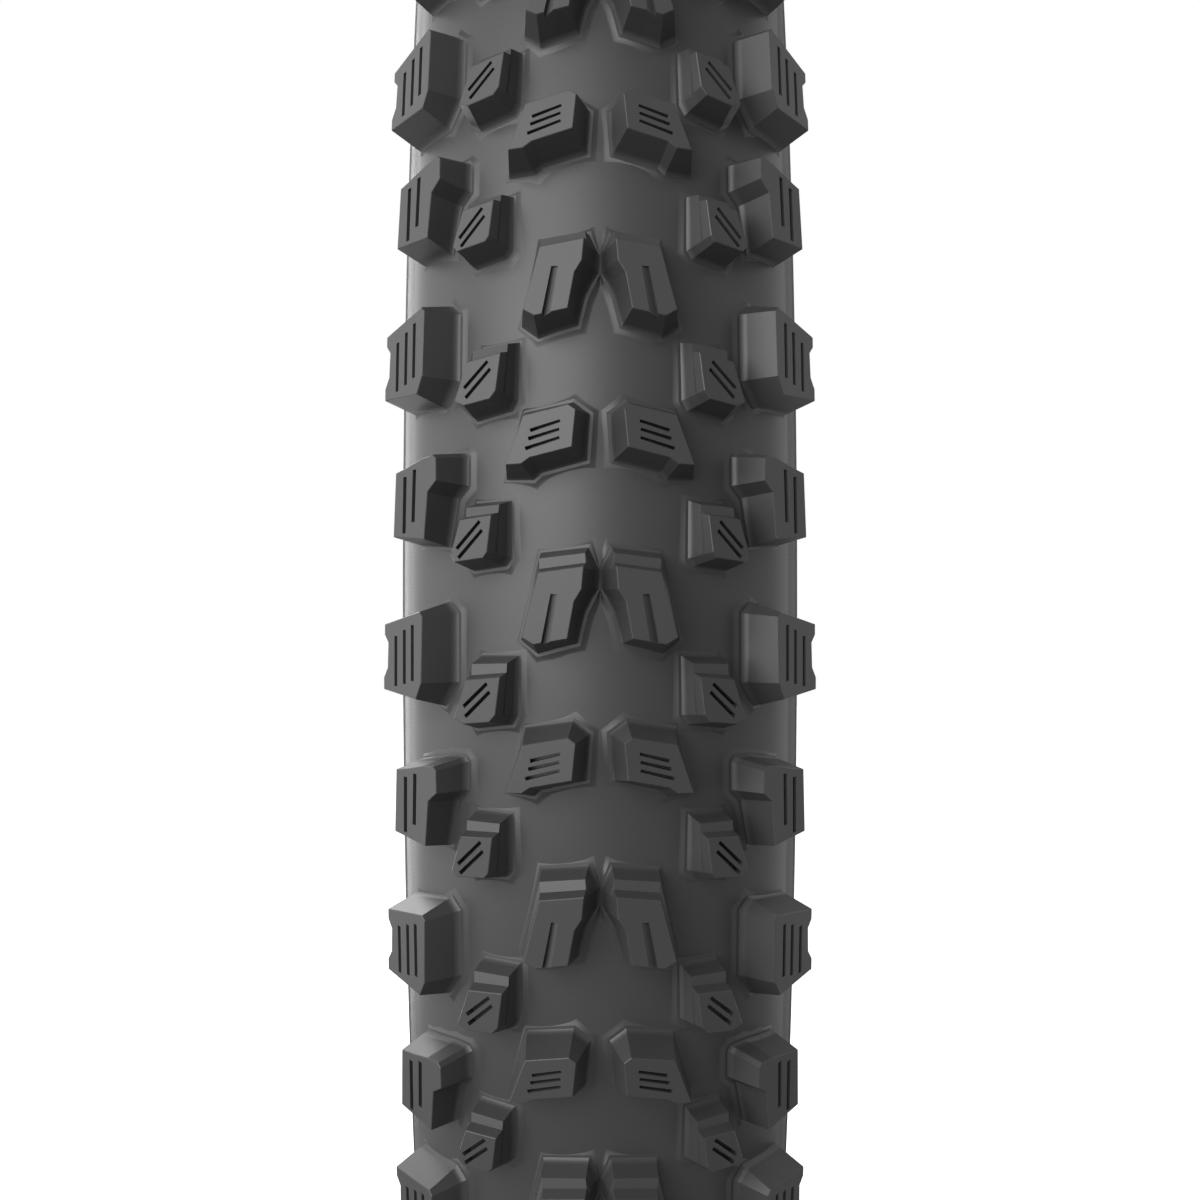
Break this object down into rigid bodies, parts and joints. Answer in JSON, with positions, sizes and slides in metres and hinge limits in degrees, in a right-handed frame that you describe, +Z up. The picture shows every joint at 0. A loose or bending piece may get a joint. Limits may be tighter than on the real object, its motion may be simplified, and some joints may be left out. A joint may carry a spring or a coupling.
{
  "type": "bicycle tire",
  "caption": "Knobbly mountain-bike tire for a 622 mm bead seat: rubber tread with siped knobs over a plied casing, with aramid beads and chafers.",
  "frame": {"origin": "the wheel's centre: on the axle's line, midway between the beads", "axes": "+Y along the axle, +Z up, +X towards the tread that faces forwards"},
  "size_m": [0.7482, 0.062, 0.7484],
  "materials": {
    "tread_rubber": "smooth satin moulded black tread rubber",
    "sidewall_rubber": "matte black rubber with a faint casing-thread print",
    "chafer_rubber": "matte black rubberised woven strip",
    "filler_rubber": "hard black rubber",
    "liner_rubber": "smooth dark butyl with the bladder's fine lines",
    "casing_fabric": "rubber-coated nylon cords laid on the bias",
    "breaker_fabric": "close woven puncture belt",
    "bead_aramid": "twisted yellow aramid cord bundle"
  },
  "bodies": {
    "root": {"tread_base": "tread_rubber", "breaker_belt": "breaker_fabric", "casing_ply_outer": "casing_fabric", "casing_ply_inner": "casing_fabric", "inner_liner": "liner_rubber", "left_sidewall": "sidewall_rubber", "left_chafer": "chafer_rubber", "left_bead_filler": "filler_rubber", "left_bead_core": "bead_aramid", "right_sidewall": "sidewall_rubber", "right_chafer": "chafer_rubber", "right_bead_filler": "filler_rubber", "right_bead_core": "bead_aramid", "left_centre_wedges": "tread_rubber", "left_centre_bars": "tread_rubber", "left_inner_transition_knobs": "tread_rubber", "left_outer_transition_knobs": "tread_rubber", "left_shoulder_three_groove_knobs": "tread_rubber", "left_shoulder_two_groove_knobs": "tread_rubber", "right_centre_wedges": "tread_rubber", "right_centre_bars": "tread_rubber", "right_inner_transition_knobs": "tread_rubber", "right_outer_transition_knobs": "tread_rubber", "right_shoulder_three_groove_knobs": "tread_rubber", "right_shoulder_two_groove_knobs": "tread_rubber"}
  },
  "joints": []
}
